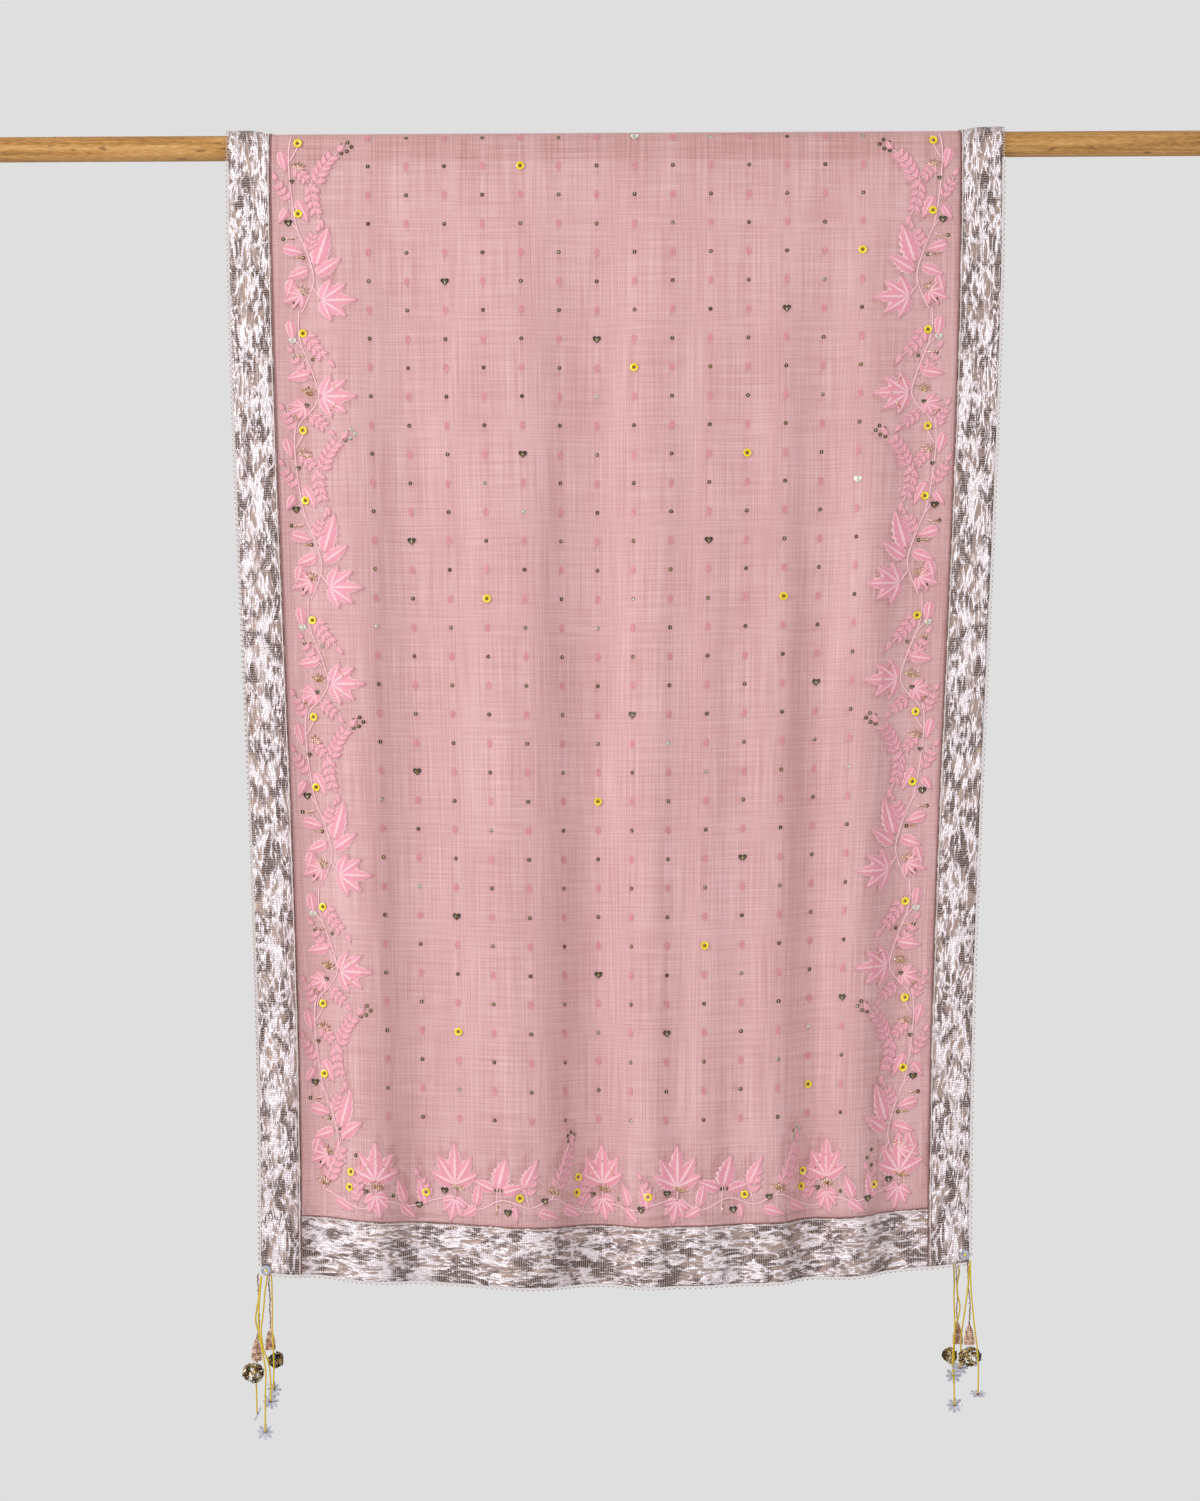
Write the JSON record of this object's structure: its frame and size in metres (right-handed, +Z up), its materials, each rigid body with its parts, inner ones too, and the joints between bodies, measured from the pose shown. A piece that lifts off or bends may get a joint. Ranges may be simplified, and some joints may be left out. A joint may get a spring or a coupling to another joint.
{
  "type": "dupatta stole on wooden pole",
  "caption": "Long sheer embroidered stole with brocade borders, picot edging and corner tassels, draped over a round wooden pole so both halves hang.",
  "frame": {"origin": "on the pole's axis, half way across the cloth", "axes": "+X along the pole, -Y the way the front drop faces, +Z up"},
  "size_m": [1.42, 0.0822, 1.4413],
  "materials": {
    "pole": "oiled golden brown pole, speckled grain",
    "ground": "sheer pink silk and cotton gauze, soft sheen",
    "brocade": "crushed silver rose metallic tissue, matt leaf figures",
    "edging": "pale thread picot loops",
    "yellow_cord": "twisted bright yellow cord",
    "string_beads": "small brown pink glass beads",
    "seed_beads": "beige pearl seed beads",
    "sequins": "dark bronze sequins",
    "petals": "translucent pale lilac petals and discs",
    "embroidery": "glossy rose pink satin stitch",
    "yellow_spangle": "bright yellow cupped spangles",
    "metal_thread": "gold and silver bugle beads and metal thread"
  },
  "bodies": {
    "root": {"pole": "pole", "field_front": "ground", "field_over_pole": "ground", "field_back": "ground", "side_border_left_front": "brocade", "side_border_left_over_pole": "brocade", "side_border_left_back": "brocade", "side_border_right_front": "brocade", "side_border_right_over_pole": "brocade", "side_border_right_back": "brocade", "end_border_front": "brocade", "end_border_back": "brocade", "edging_left_front": "edging", "edging_left_over_pole": "edging", "edging_left_back": "edging", "edging_right_front": "edging", "edging_right_over_pole": "edging", "edging_right_back": "edging", "end_edging_front": "edging", "end_edging_back": "edging", "disc_front_left": "petals", "cord_front_left_a": "yellow_cord", "cord_front_left_b": "yellow_cord", "flower_front_left_a": "petals", "flower_front_left_b": "petals", "bead_string_front_left": "string_beads", "cone_front_left": "seed_beads", "sequins_front_left": "sequins", "disc_front_right": "petals", "cord_front_right_a": "yellow_cord", "cord_front_right_b": "yellow_cord", "flower_front_right_a": "petals", "flower_front_right_b": "petals", "bead_string_front_right": "string_beads", "cone_front_right": "seed_beads", "sequins_front_right": "sequins", "disc_back_left": "petals", "cord_back_left_a": "yellow_cord", "cord_back_left_b": "yellow_cord", "flower_back_left_a": "petals", "flower_back_left_b": "petals", "bead_string_back_left": "string_beads", "cone_back_left": "seed_beads", "sequins_back_left": "sequins", "disc_back_right": "petals", "cord_back_right_a": "yellow_cord", "cord_back_right_b": "yellow_cord", "flower_back_right_a": "petals", "flower_back_right_b": "petals", "bead_string_back_right": "string_beads", "cone_back_right": "seed_beads", "sequins_back_right": "sequins"}
  },
  "joints": []
}
